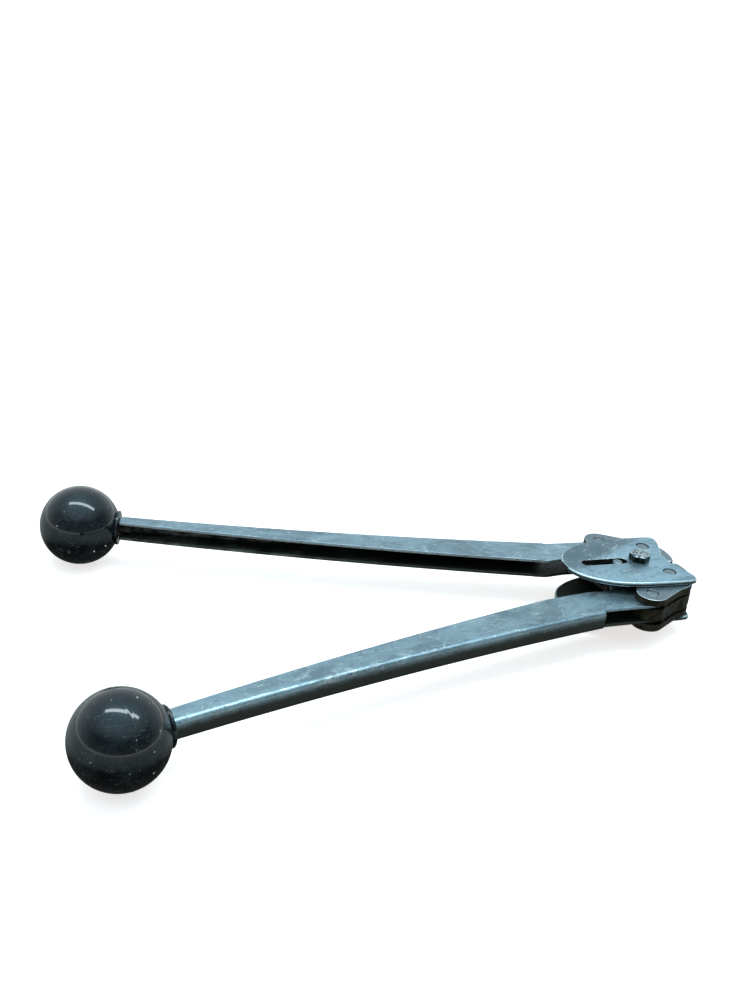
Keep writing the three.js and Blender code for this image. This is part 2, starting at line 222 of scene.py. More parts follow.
def plate_mesh(name, outlines, low, high, rim, hole_rim, setback=0.0, steps=5):
    """A flat plate with rounded rims. The first outline is its outside and the others are holes.

    rim and hole_rim are the roundings' radii, and setback moves the outside in.
    """
    bm = bmesh.new()
    borders = ([], [])  # of the lower face and of the upper face
    for number, outline in enumerate(outlines):
        radius, back = (hole_rim, 0.0) if number else (rim, setback)
        quarter = [math.radians(90 * k / steps) for k in range(steps + 1)]
        upper = [(radius * (1 - math.cos(a)), high - radius * (1 - math.sin(a))) for a in quarter]
        lower = [(aside, low + high - height) for aside, height in reversed(upper)]
        shares = [min(1, free / (back + radius)) for free in room(outline)]
        rings = []
        for aside, height in lower + upper:
            places = inset(outline, [(back + aside) * share for share in shares])
            rings.append([bm.verts.new((p.x, p.y, height)) for p in places])
        for ring, following in zip(rings, rings[1:]):
            bridge(bm, ring, following)
        borders[0].append(rings[0])
        borders[1].append(rings[-1])
    for rings in borders:
        fill(bm, rings)
    return mesh_of(bm, name)


def turned_mesh(name, profile, sides=96):
    """A mesh turned about +Z from points (radius, height), from the axis to the axis or closed on itself."""
    bm = bmesh.new()
    rings = []
    for radius, height in profile:
        around = [math.tau * i / sides for i in range(sides)] if radius > 1e-9 else [0]
        rings.append([bm.verts.new((radius * math.cos(a), radius * math.sin(a), height)) for a in around])
    for ring, following in zip(rings, rings[1:]):
        bridge(bm, ring, following)
    if len(rings[0]) > 1:
        bridge(bm, rings[-1], rings[0])
    return mesh_of(bm, name)


def pin_mesh(name, radius, reach, tip):
    """A plain pin about +Z, as far above its middle as below, with rounded and slightly crowned ends."""
    crown = 0.12
    half = [Vector((0, reach)), Vector((radius - tip, reach - crown)), Vector((radius, reach - crown - tip))]
    profile = half + [Vector((p.x, -p.y)) for p in reversed(half)]
    return turned_mesh(name, filleted(profile, 0.6 * tip, closed=False, steps=3), 64)


def threaded_mesh(name, radius, pitch, low, high, smooth_from, chamfer, sides=72):
    """A rod about +Z with a helical thread from its lower end up to smooth_from, plain above."""
    depth = 0.5 * pitch
    steps_in_a_pitch = 10
    steps = round((high - low) / (pitch / steps_in_a_pitch))
    bm = bmesh.new()
    rings = [[bm.verts.new((0, 0, low))]]
    for k in range(steps + 1):
        height = low + (high - low) * k / steps
        limit = radius - chamfer + min(height - low, high - height)
        ring = []
        for i in range(sides):
            around = math.tau * i / sides
            wave = abs(2 * ((height / pitch - i / sides) % 1) - 1)
            groove = depth * min(1, max(0, 1.3 * wave - 0.2)) if height < smooth_from else 0
            at = min(limit, radius - groove)
            ring.append(bm.verts.new((at * math.cos(around), at * math.sin(around), height)))
        rings.append(ring)
    rings.append([bm.verts.new((0, 0, high))])
    for ring, following in zip(rings, rings[1:]):
        bridge(bm, ring, following)
    return mesh_of(bm, name)


def hexagon_mesh(name, flats, low, high, chamfered, bore=0, sides=96):
    """A hexagonal prism about +Z. Its corners are turned off at the top, and below too if chamfered twice."""
    flat = flats / 2
    crown = 0.94 * flat  # radius of the round face that the turned corners leave
    chamfer = math.radians(30)

    def at(radius_of, height_of):
        ring = []
        for i in range(sides):
            angle = math.tau * i / sides
            side = flat / math.cos((angle + math.pi / 6) % (math.pi / 3) - math.pi / 6)
            radius = radius_of(side)
            ring.append(bm.verts.new((radius * math.cos(angle), radius * math.sin(angle), height_of(side))))
        return ring

    def drop(side):
        return (side - crown) * math.tan(chamfer)

    bm = bmesh.new()
    top = [at(lambda side: side, lambda side: high - drop(side)), at(lambda side: crown, lambda side: high)]
    if chamfered == 2:
        bottom = [
            at(lambda side: crown, lambda side: low),
            at(lambda side: side, lambda side: low + drop(side)),
        ]
    else:
        bottom = [at(lambda side: side, lambda side: low)]
    if bore:
        inner = [at(lambda side: bore, lambda side: high), at(lambda side: bore, lambda side: low)]
        rings = bottom + top + inner + bottom[:1]
    else:
        rings = [[bm.verts.new((0, 0, low))]] + bottom + top + [[bm.verts.new((0, 0, high))]]
    for ring, following in zip(rings, rings[1:]):
        bridge(bm, ring, following)
    return mesh_of(bm, name)


def joined_mesh(name, meshes):
    """The union of closed meshes as one closed mesh."""
    holders = [bpy.data.objects.new(f"{name}_{i}", mesh) for i, mesh in enumerate(meshes)]
    for holder in holders:
        bpy.context.scene.collection.objects.link(holder)
    for other in holders[1:]:
        union = holders[0].modifiers.new("union", "BOOLEAN")
        union.operation = "UNION"
        union.solver = "EXACT"
        union.object = other
    made = bpy.data.meshes.new_from_object(
        holders[0].evaluated_get(bpy.context.evaluated_depsgraph_get())
    )
    for holder in holders:
        bpy.data.objects.remove(holder)
    made.name = name
    return made


def soften(piece, width):
    """A small rounding on every sharp edge, in millimetres."""
    bevel = piece.modifiers.new("soften", "BEVEL")
    bevel.width = width * MM
    bevel.segments = 3
    bevel.limit_method = "ANGLE"
    bevel.angle_limit = SOFTEN_FROM
    return piece


def shade(piece):
    """Smooth shading that leaves flat faces flat."""
    piece.data.shade_smooth()
    piece.data.set_sharp_from_angle(angle=SHARP_EDGE)
    weighted = piece.modifiers.new("flat faces", "WEIGHTED_NORMAL")
    weighted.keep_sharp = True
    weighted.weight = 100


def show(name, mesh, body, slot, *materials):
    """An object made from a mesh in millimetres, riding on a body."""
    mesh.transform(Matrix.Scale(MM, 4))
    piece = bpy.data.objects.new(name, mesh)
    bpy.context.scene.collection.objects.link(piece)
    for material in materials:
        mesh.materials.append(material)
    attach(piece, body)
    return piece


def stand_for(node, mesh, *materials):
    """A finished piece in place of a CAD node."""
    piece = show(f"{node}_finished", mesh, BODY[node], SLOT[node], *materials)
    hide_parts(node)
    return piece


def plate(node, rim, hole_rim, *materials, corner=0.5, setback=0.0):
    """A finished flat piece with its CAD node's outlines, whose corners in plan are rounded too."""
    low, high = box(node)
    outlines = [finer(filleted(o, corner)) for o in face_outlines(node, high.z)]
    piece = stand_for(node, plate_mesh(node, outlines, low.z, high.z, rim, hole_rim, setback), *materials)
    shade(piece)
    return piece


def paint_faces(piece, slot_number, chosen):
    """Gives the faces for which chosen(centre, normal) is true the piece's material of that number."""
    for face in piece.data.polygons:
        if chosen(face.center / MM, face.normal):
            face.material_index = slot_number


# ---------------------------------------------------------------- materials

class Look:
    """A material's node tree, with short calls for its parts."""

    def __init__(self, name):
        self.material = bpy.data.materials.new(name)
        self.material.use_nodes = True
        self.tree = self.material.node_tree
        self.shader = self.tree.nodes["Principled BSDF"]
        self.place = self.node("ShaderNodeTexCoord").outputs["Object"]

    def node(self, kind, **settings):
        made = self.tree.nodes.new(kind)
        for key, value in settings.items():
            setattr(made, key, value)
        return made

    def feed(self, socket, value):
        if isinstance(value, bpy.types.NodeSocket):
            self.tree.links.new(value, socket)
        else:
            socket.default_value = value

    def turned(self, degrees=0.0, stretch=(1, 1, 1)):
        """The place on the object, turned about Z and then stretched."""
        mapping = self.node("ShaderNodeMapping", vector_type="TEXTURE")
        self.feed(mapping.inputs["Vector"], self.place)
        mapping.inputs["Rotation"].default_value = (0, 0, math.radians(degrees))
        mapping.inputs["Scale"].default_value = stretch
        return mapping.outputs["Vector"]

    def noise(self, size, place=None, detail=4.0, roughness=0.55, distortion=0.0):
        """A soft random pattern whose patches are about this many millimetres across."""
        noise = self.node("ShaderNodeTexNoise")
        self.feed(noise.inputs["Vector"], place or self.place)
        noise.inputs["Scale"].default_value = 1 / (size * MM)
        noise.inputs["Detail"].default_value = detail
        noise.inputs["Roughness"].default_value = roughness
        noise.inputs["Distortion"].default_value = distortion
        return noise.outputs["Fac"]

    def specks(self, size, share, place=None):
        """Small round spots, 1 inside and 0 outside."""
        cells = self.node("ShaderNodeTexVoronoi", feature="F1")
        self.feed(cells.inputs["Vector"], place or self.place)
        cells.inputs["Scale"].default_value = 1 / (size * MM)
        return self.levels(cells.outputs["Distance"], share, 0.6 * share)

    def levels(self, value, low, high, out_low=0.0, out_high=1.0):
        """Maps low..high to out_low..out_high, and holds it there outside."""
        levels = self.node("ShaderNodeMapRange", interpolation_type="SMOOTHSTEP")
        for socket, number in zip(levels.inputs, (value, low, high, out_low, out_high)):
            self.feed(socket, number)
        return levels.outputs["Result"]

    def math(self, operation, a, b=0.0):
        made = self.node("ShaderNodeMath", operation=operation)
        self.feed(made.inputs[0], a)
        self.feed(made.inputs[1], b)
        return made.outputs["Value"]

    def mix(self, a, b, share):
        """Colour a, turning into colour b as share goes from 0 to 1."""
        made = self.node("ShaderNodeMix", data_type="RGBA")
        self.feed(made.inputs["Factor"], share)
        for socket, colour in ((made.inputs[6], a), (made.inputs[7], b)):
            self.feed(socket, colour if isinstance(colour, bpy.types.NodeSocket) else (*colour, 1))
        return made.outputs[2]

    def height(self):
        split = self.node("ShaderNodeSeparateXYZ")
        self.feed(split.inputs["Vector"], self.place)
        return split.outputs["Z"]

    def scratches(self, angles, size=1.6, thin=0.012):
        """Long fine scratches in several directions: 1 in a scratch and 0 outside."""
        total = 0.0
        for angle in angles:
            place = self.turned(angle, (26, 1, 1))
            wander = self.noise(size, place, detail=2, roughness=0.4)
            line = self.levels(self.math("ABSOLUTE", self.math("SUBTRACT", wander, 0.5)), thin, 0.3 * thin)
            patch = self.levels(self.noise(9, self.turned(angle + 40)), 0.52, 0.6)
            total = self.math("MAXIMUM", total, self.math("MULTIPLY", line, patch))
        return total

    def bump(self, height, depth):
        """Raises the surface by height times depth, in millimetres."""
        bump = self.node("ShaderNodeBump")
        bump.inputs["Strength"].default_value = 1
        bump.inputs["Distance"].default_value = depth * MM
        self.feed(bump.inputs["Height"], height)
        self.feed(self.shader.inputs["Normal"], bump.outputs["Normal"])

    def finish(self, colour, roughness, metallic, **others):
        for name, value in (("Base Color", colour), ("Roughness", roughness), ("Metallic", metallic)):
            self.feed(self.shader.inputs[name], value)
        for name, value in others.items():
            self.shader.inputs[name.replace("_", " ")].default_value = value
        return self.material


BLOOM = (0.80, 0.93, 0.96)  # the white haze of old zinc
RUBBED_ZINC = (0.90, 0.96, 0.97)
NICK = (0.10, 0.11, 0.11)
# The colour of the painted shade low down on the zinc.
PAINTED_SHADE = (0.056, 0.060, 0.048)
OIL_STAIN = (0.17, 0.15, 0.125)
RUBBED_STEEL = (0.85, 0.87, 0.88)
BROWN_CLOT = (0.085, 0.038, 0.022)
RUST_FILM = (0.070, 0.032, 0.016)
RUST = (0.16, 0.07, 0.035)
KNOB_DUST = (0.10, 0.12, 0.125)
KNOB_SCUFF = (0.26, 0.30, 0.32)
KNOB_CHIP = (0.60, 0.60, 0.56)


def zinc(name, along, light, dark, shade_height, dark_end=None):
    """Dulled bright zinc plating: mottled, scuffed and scratched, and darkened low down as painted shade.

    along is the direction of rolling in degrees. The painted shade is full at the first of its two heights and
    gone at the second. The last argument is a darker end: its direction in degrees, where it is full and where
    it ends along that direction, in metres, and its colour.
    """
    ragged_by = 0.02  # how far the darker end's border wanders, in metres
    ragged_share = 0.6  # the same for the painted shade, as a share of its height
    look = Look(name)
    broad = look.noise(22, look.turned(along, (2.0, 1, 1)), detail=6, roughness=0.65, distortion=0.3)
    fine = look.noise(2.4, look.turned(along, (2.5, 1, 1)), detail=7, roughness=0.72)
    grain = look.noise(0.5, detail=3)
    colour = look.mix(dark, light, look.levels(broad, 0.36, 0.60))
    colour = look.mix(colour, [0.62 * c for c in dark], look.levels(fine, 0.51, 0.68, 0, 0.72))
    bloom = look.noise(6.5, look.turned(along, (1.6, 1, 1)), detail=7, roughness=0.7)
    colour = look.mix(colour, BLOOM, look.levels(bloom, 0.54, 0.70, 0, 0.55))
    # The darker end; on the channels it is painted shade between the side plates.
    if dark_end:
        degrees, start, end, tone = dark_end
        split = look.node("ShaderNodeSeparateXYZ")
        look.feed(split.inputs["Vector"], look.turned(degrees))
        ragged = look.math("MULTIPLY", look.math("SUBTRACT", bloom, 0.5), ragged_by)
        ragged = look.math("ADD", split.outputs["X"], ragged)
        colour = look.mix(colour, tone, look.levels(ragged, end, start, 0, 0.92))
    scuff = look.scratches((along, along + 8, along - 34, along + 62), 1.8)
    colour = look.mix(colour, RUBBED_ZINC, look.math("MULTIPLY", scuff, 0.6))
    nicks = look.specks(3.4, 0.16, look.turned(along, (2, 1, 1)))
    nick_share = look.math("MULTIPLY", nicks, look.levels(look.noise(14), 0.55, 0.62, 0, 0.75))
    colour = look.mix(colour, NICK, nick_share)
    # Painted shade: darker towards the bottom, below the two given heights.
    low, high = shade_height
    ragged = look.math("MULTIPLY", look.math("SUBTRACT", fine, 0.5), ragged_share * (high - low))
    low_shade = look.levels(look.math("ADD", look.height(), ragged), high, low)
    colour = look.mix(colour, PAINTED_SHADE, look.levels(low_shade, 0.0, 1.0, 0.0, 0.97))
    roughness = look.levels(fine, 0.3, 0.7, 0.24, 0.42)
    roughness = look.math("ADD", roughness, look.math("MULTIPLY", low_shade, 0.16))
    relief = look.math("ADD", look.math("MULTIPLY", fine, 0.7), look.math("MULTIPLY", grain, 0.3))
    relief = look.math("SUBTRACT", relief, look.math("MULTIPLY", scuff, 0.35))
    look.bump(relief, 0.05)
    return look.finish(colour, roughness, 0.85)


def grease_and_shade(name, dark, light):
    """Dull zinc with brown grease clots, dark as painted shade for hollows and gaps, lighter towards the knobs as
    painted light and darker towards the jaws.
    """
    lit_at, shaded_at = -0.06, 0.04  # along the tool, in metres
    look = Look(name)
    film = look.noise(9, look.turned(0, (2.5, 1, 1)), detail=6, roughness=0.65)
    clots = look.noise(1.6, detail=5, roughness=0.7)
    colour = look.mix(dark, light, look.levels(film, 0.42, 0.66))
    colour = look.mix(colour, BROWN_CLOT, look.levels(clots, 0.62, 0.74, 0, 0.7))
    split = look.node("ShaderNodeSeparateXYZ")
    look.feed(split.inputs["Vector"], look.place)
    # Painted light and shade: lighter towards the knobs and darker towards the jaws.
    colour = look.mix(colour, dark, look.levels(split.outputs["X"], lit_at, shaded_at, 0, 0.9))
    roughness = look.levels(clots, 0.35, 0.65, 0.32, 0.62)
    look.bump(look.math("ADD", film, clots), 0.12)
    return look.finish(colour, roughness, 0.2)


def oiled_steel(name):
    """Hardened jaw steel, dark with oil, with shear marks across its edges and lighter worn patches."""
    look = Look(name)
    broad = look.noise(8, detail=6, roughness=0.65)
    shear = look.noise(0.5, look.turned(0, (1, 1, 9)), detail=3, roughness=0.6)
    stain = look.noise(2.6, detail=5, roughness=0.7, distortion=0.6)
    colour = look.mix((0.018, 0.016, 0.010), (0.060, 0.055, 0.036), look.levels(broad, 0.36, 0.66))
    colour = look.mix(colour, (0.16, 0.15, 0.105), look.levels(stain, 0.58, 0.74, 0, 0.5))
    rust = look.levels(look.noise(4.2, detail=6), 0.60, 0.74, 0, 0.4)
    colour = look.mix(colour, RUST_FILM, rust)
    roughness = look.levels(stain, 0.3, 0.7, 0.34, 0.58)
    look.bump(look.math("ADD", shear, look.math("MULTIPLY", stain, 0.8)), 0.07)
    return look.finish(colour, roughness, 0.85, Specular_IOR_Level=0.2)


def ground_steel(name, angle, tint, stain_share=0.5):
    """A ground or rubbed bright steel face with oil stains, and fine marks at an angle in degrees."""
    look = Look(name)
    marks = look.noise(0.28, look.turned(angle, (40, 1, 1)), detail=3, roughness=0.6)
    stain = look.noise(4.5, detail=6, roughness=0.65, distortion=0.4)
    colour = look.mix(tint, [0.62 * c for c in tint], look.levels(marks, 0.4, 0.72, 0, 0.6))
    colour = look.mix(colour, OIL_STAIN, look.levels(stain, 0.52, 0.70, 0, stain_share))
    scuff = look.scratches((angle + 25, angle - 50), 1.2)
    colour = look.mix(colour, RUBBED_STEEL, look.math("MULTIPLY", scuff, 0.5))
    roughness = look.levels(stain, 0.3, 0.7, 0.24, 0.42)
    look.bump(look.math("ADD", marks, look.math("MULTIPLY", stain, 0.5)), 0.04)
    return look.finish(colour, roughness, 0.9)


def bolt_zinc(name, top):
    """A plated fastener, bright on its top face, at a height in metres, and near black below."""
    dark_from, bright_from = top - 0.9 * MM, top - 0.3 * MM
    look = Look(name)
    patch = look.noise(1.9, detail=5, roughness=0.7, distortion=0.8)
    fine = look.noise(0.5, detail=3)
    bright = look.mix((0.13, 0.17, 0.19), (0.72, 0.77, 0.79), look.levels(patch, 0.44, 0.56))
    side = look.mix((0.004, 0.006, 0.006), (0.045, 0.055, 0.055), look.levels(patch, 0.45, 0.70))
    # Bright on the top face and near black below it.
    colour = look.mix(side, bright, look.levels(look.height(), dark_from, bright_from))
    roughness = look.levels(fine, 0.35, 0.65, 0.2, 0.42)
    look.bump(look.math("ADD", patch, fine), 0.08)
    return look.finish(colour, roughness, 0.9)


def dark_steel(name):
    """Black oxidised steel with rubbed, slightly rusty patches."""
    look = Look(name)
    patch = look.noise(1.4, detail=5, roughness=0.65)
    colour = look.mix((0.028, 0.027, 0.026), (0.14, 0.13, 0.12), look.levels(patch, 0.48, 0.68))
    colour = look.mix(colour, RUST, look.levels(look.noise(3.1, detail=5), 0.6, 0.74, 0, 0.5))
    look.bump(patch, 0.06)
    return look.finish(colour, look.levels(patch, 0.3, 0.7, 0.35, 0.6), 0.7)


def brass(name):
    """Dull turned brass."""
    look = Look(name)
    patch = look.noise(1.8, detail=5, roughness=0.6)
    colour = look.mix((0.60, 0.44, 0.20), (0.80, 0.63, 0.34), look.levels(patch, 0.35, 0.65))
    look.bump(look.noise(0.3), 0.03)
    return look.finish(colour, look.levels(patch, 0.3, 0.7, 0.25, 0.42), 1.0)


def phenolic(name, along):
    """Polished black phenolic, hazed by handling, with fine scratches, dust in dents, and small chips."""
    look = Look(name)
    haze = look.noise(9, detail=5, roughness=0.6)
    rub = look.noise(1.2, detail=6, roughness=0.75)
    scuff = look.scratches((along + 80, along + 35, along - 20), 2.2, 0.009)
    chips = look.specks(5.2, 0.12)
    chips = look.math("MULTIPLY", chips, look.levels(look.noise(12), 0.50, 0.56))
    dust = look.math("MULTIPLY", look.levels(rub, 0.60, 0.70), look.levels(haze, 0.5, 0.62, 0, 0.16))
    colour = look.mix((0.0012, 0.0016, 0.0020), (0.0035, 0.0055, 0.0070), look.levels(haze, 0.4, 0.62))
    colour = look.mix(colour, KNOB_DUST, dust)
    colour = look.mix(colour, KNOB_SCUFF, look.math("MULTIPLY", scuff, 0.22))
    colour = look.mix(colour, KNOB_CHIP, chips)
    roughness = look.levels(haze, 0.35, 0.7, 0.20, 0.34)
    roughness = look.math("ADD", roughness, look.math("MULTIPLY", dust, 0.3))
    relief = look.math("SUBTRACT", look.math("MULTIPLY", rub, 0.25), look.math("MAXIMUM", scuff, chips))
    look.bump(relief, 0.03)
    polish = {"Coat_Weight": 1.0, "Coat_Roughness": 0.05}
    return look.finish(colour, roughness, 0.0, IOR=1.32, Specular_Tint=(0.62, 0.90, 1.0, 1), **polish)


HANDLE_SLOPE = 15.8  # degrees between a handle and the tool's axis
PLATE_ZINC = zinc(
    "zinc_plate",
    12,
    (0.46, 0.68, 0.79),
    (0.27, 0.40, 0.46),
    ((MIDDLE + 12.1) * MM, (MIDDLE + 13.6) * MM),  # painted shade on the cut edge and underneath
    (-60, 0.060, 0.068, (0.17, 0.25, 0.29)),  # darker at the rear
)
WASHER_ZINC = zinc("zinc_washer", 40, (0.44, 0.52, 0.56), (0.26, 0.31, 0.34), (-0.02, -0.01))
CHANNEL_ZINC = {
    side: zinc(
        f"zinc_{side}",
        -outward * HANDLE_SLOPE,
        (0.40, 0.56, 0.63),
        (0.25, 0.35, 0.40),
        ((MIDDLE - 1.2) * MM, (MIDDLE + 6.0) * MM),  # painted shade down the web
        (90, outward * 0.010, outward * 0.018, (0.020, 0.021, 0.018)),  # painted shade between the side plates
    )
    for side, outward in (("rear", 1), ("front", -1))
}
# Painted shade for the channels' insides, the slot and the pin holes; the second is a lighter copy, painted as
# lit, for the webs' inner faces.
GREASE_AND_SHADE = grease_and_shade("channel_grease_and_shade", (0.016, 0.018, 0.014), (0.105, 0.120, 0.088))
LIT_FILM_AND_SHADE = grease_and_shade("channel_lit_film_and_shade", (0.012, 0.012, 0.010), (0.26, 0.27, 0.26))
# Rubbed steel that also paints a highlight along the upper flanges' cut edges.
FREE_EDGE = ground_steel("flange_edge", 74, (0.56, 0.66, 0.70), 0.6)
JAW_STEEL = oiled_steel("jaw_steel")
JAW_FACE = ground_steel("ground_jaw_face", 30, (0.31, 0.38, 0.42))
WORN_EDGE = ground_steel("worn_edge", 30, (0.74, 0.84, 0.87), 0.25)
WORN_RIM = ground_steel("worn_rim", 30, (0.76, 0.92, 0.96), 0.3)
PIN_STEEL = ground_steel("pin_end", 70, (0.33, 0.40, 0.44), 0.35)
BOLT_HEAD = bolt_zinc("bolt_head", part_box("center_bolt")[1].z)
NUT_STEEL = bolt_zinc("nut_steel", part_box("hex_nut")[1].z)
STUD_STEEL = dark_steel("stud_steel")
BRASS = brass("insert_brass")
KNOB = {"rear": phenolic("knob_rear", -HANDLE_SLOPE), "front": phenolic("knob_front", HANDLE_SLOPE)}


# ---------------------------------------------------------------- head: side plates, anvil, bolt, pins

PINS = [box(name) for name in frame["nodes"] if "pin" in name and "slid" not in name]
PIN_HOLE_REACH = 5.6  # no part of a pin hole's rim is farther than this from the pin's axis
SLOT_HALF_WIDTH, SLOT_FRONT = 3.5, 152  # the slot's walls lie within this of Y = 0, and behind this X
PLATE_RIM, PLATE_HOLE_RIM = 1.15, 0.40


def near_pin(centre):
    """True beside one of the pins that the side plates hold."""
    middles = ((low + high) / 2 for low, high in PINS)
    return any(math.hypot(centre.x - pin.x, centre.y - pin.y) < PIN_HOLE_REACH for pin in middles)


def is_slot_wall(centre, normal):
    return abs(normal.z) < 0.8 and abs(centre.y) < SLOT_HALF_WIDTH and centre.x < SLOT_FRONT


def make_side_plates():
    for level in ("top", "bottom"):
        rims = (PLATE_RIM, PLATE_HOLE_RIM)
        piece = plate(f"side_plate_{level}", *rims, PLATE_ZINC, GREASE_AND_SHADE, WORN_RIM, corner=0.9)
        paint_faces(piece, 2, lambda centre, normal: 0.3 < abs(normal.z) < 0.98)
        # Painted shade in the gaps round the pins and on the slot's walls.
        paint_faces(piece, 1, lambda centre, normal: 0.1 < abs(normal.z) < 0.98 and near_pin(centre))
        paint_faces(piece, 1, is_slot_wall)


def centred(node, mesh, *materials):
    """A piece made about the Z axis, set on its node's centre in plan and at the middle of its height."""
    low, high = box(node)
    mesh.transform(Matrix.Translation((low + high) / 2))
    return stand_for(node, mesh, *materials)


def make_bolt():
    """A 1/4 in bolt with its nut and washer."""
    flats, head_height = 11, 4
    bolt_radius, pitch, thread_length, tip = 3.175, 1.27, 12, 0.6
    nut_bore = 3.45
    low, high = box("center_bolt")
    head_low = high.z - head_height
    axis = Matrix.Translation(((low.x + high.x) / 2, (low.y + high.y) / 2, 0))
    head = hexagon_mesh("bolt_head", flats, head_low, high.z, 1)
    shank_high = head_low + 0.5  # inside the head
    shank = threaded_mesh("bolt_shank", bolt_radius, pitch, low.z, shank_high, low.z + thread_length, tip)
    mesh = joined_mesh("bolt", [head, shank])
    mesh.transform(axis)
    piece = stand_for("center_bolt", mesh, BOLT_HEAD)
    shade(piece)
    nut_low, nut_high = box("hex_nut")
    nut = hexagon_mesh("nut", flats, nut_low.z, nut_high.z, 2, bore=nut_bore)
    nut.transform(axis)
    shade(soften(stand_for("hex_nut", nut, NUT_STEEL), 0.15))
    plate("bolt_washer", 0.3, 0.15, WASHER_ZINC)


def make_pins():
    """Each pin with the rounding of its ends, and the sliding pin's rings."""
    pins = {"jaw_pivot_pin_rear": 0.25, "jaw_pivot_pin_front": 0.25, "slide_pin": 0.4}
    for side in SIDES:
        pins[f"jaw_{side}_tail_pin"] = 0.3
        pins[f"jaw_{side}_rivet"] = 0.3
    for node, tip in pins.items():
        low, high = box(node)
        mesh = pin_mesh(node, (high.y - low.y) / 2, (high.z - low.z) / 2, tip)
        shade(centred(node, mesh, PIN_STEEL))
    for level in ("top", "bottom"):
        plate(f"slide_ring_{level}", 0.3, 0.1, PIN_STEEL)


# ---------------------------------------------------------------- jaws

JAW_RIM, JAW_HOLE_RIM = 0.55, 0.15
SPACER_SETBACK = 1.1  # leaves a groove between the plates and the core


def make_jaws():
    """The anvil and the two laminated jaws, with ground faces and bright rims on their outer plates."""
    plate("anvil_block", 0.4, 0.2, JAW_STEEL)
    for side in SIDES:
        for layer in ("plate_top", "spacer_top", "core", "spacer_bottom", "plate_bottom"):
            setback = SPACER_SETBACK if "spacer" in layer else 0.0
            finish = (JAW_RIM, JAW_HOLE_RIM, JAW_STEEL, JAW_FACE, WORN_EDGE)
            piece = plate(f"jaw_{side}_{layer}", *finish, corner=0.8, setback=setback)
            up = {"plate_top": 1, "plate_bottom": -1}.get(layer)
            if up:
                paint_faces(piece, 2, lambda centre, normal: 0.5 < up * normal.z < 0.98)
                paint_faces(piece, 1, lambda centre, normal: up * normal.z > 0.98)


# ---------------------------------------------------------------- handles

CHANNEL_START, CHANNEL_END = 24.2, 288  # from the knob's centre, along the handle
SHEET = 1.9  # thickness
BEND = 2.8  # outer radius
FLANGE_HIGH = 6.0  # of the flange's outer face, above the middle
OUTER_EDGE = (5.6, 5.7, 13.2)  # the web's face, out from the handle's axis: start, middle, end
STUB = 1.4  # flat metal that the bend carries on into the flange
STATIONS = 60  # sections along the web

KNOB_LOW, KNOB_HIGH = box("ball_knob_rear")
KNOB_RADIUS = (KNOB_HIGH.z - KNOB_LOW.z) / 2
KNOB_CENTRE = Vector((KNOB_LOW.x + KNOB_RADIUS, KNOB_HIGH.y - KNOB_RADIUS))
ALONG = Vector((math.cos(math.radians(HANDLE_SLOPE)), -math.sin(math.radians(HANDLE_SLOPE))))
OUTWARD = Vector((-ALONG.y, ALONG.x))


def on_handle(along, outward):
    """A point of the rear handle in plan."""
    return KNOB_CENTRE + ALONG * along + OUTWARD * outward


def web_face(along):
    """How far out from the handle's axis the web's outer face is."""
    s = (along - CHANNEL_START) / (CHANNEL_END - CHANNEL_START)
    start, middle, end = OUTER_EDGE
    return start + (4 * middle - 3 * start - end) * s + (2 * start - 4 * middle + 2 * end) * s * s


def bend_section(steps=8):
    """The web with its two bends and a short stub of each flange, as (inward, height) pairs."""
    def corner(radius, from_degrees, to_degrees, up):
        centre = up * (FLANGE_HIGH - BEND)
        angles = [from_degrees + (to_degrees - from_degrees) * k / steps for k in range(steps + 1)]
        turns = [math.radians(a) for a in angles]
        return [(BEND + radius * math.cos(a), centre + radius * math.sin(a)) for a in turns]

    flat = BEND + STUB
    inside = FLANGE_HIGH - SHEET
    return [
        (flat, FLANGE_HIGH),
        *corner(BEND, 90, 180, 1),
        *corner(BEND, 180, 270, -1),
        (flat, -FLANGE_HIGH),
        (flat, -inside),
        *corner(BEND - SHEET, 270, 180, -1),
        *corner(BEND - SHEET, 180, 90, 1),
        (flat, inside),
    ]


def web_mesh():
    """The rear handle's web with its bends."""
    bm = bmesh.new()
    rings = []
    for k in range(STATIONS + 1):
        along = CHANNEL_START + (CHANNEL_END - CHANNEL_START) * k / STATIONS
        ring = []
        for inward, height in bend_section():
            place = on_handle(along, web_face(along) - inward)
            ring.append(bm.verts.new((place.x, place.y, MIDDLE + height)))
        rings.append(ring)
    for ring, following in zip(rings, rings[1:]):
        bridge(bm, ring, following)
    bm.faces.new(rings[0])
    bm.faces.new(rings[-1])
    return mesh_of(bm, "web")


def flange_mesh(up):
    """One flange with its lug, outline from the CAD node's top face, with rounded free edges."""
    corner, rim, hole_rim = 0.8, 0.4, 0.15
    top = box("handle_rear_channel")[1].z
    outlines = [finer(filleted(o, corner)) for o in face_outlines("handle_rear_channel", top)]
    high = MIDDLE + FLANGE_HIGH if up else MIDDLE - FLANGE_HIGH + SHEET
    return plate_mesh("flange", outlines, high - SHEET, high, rim, hole_rim)


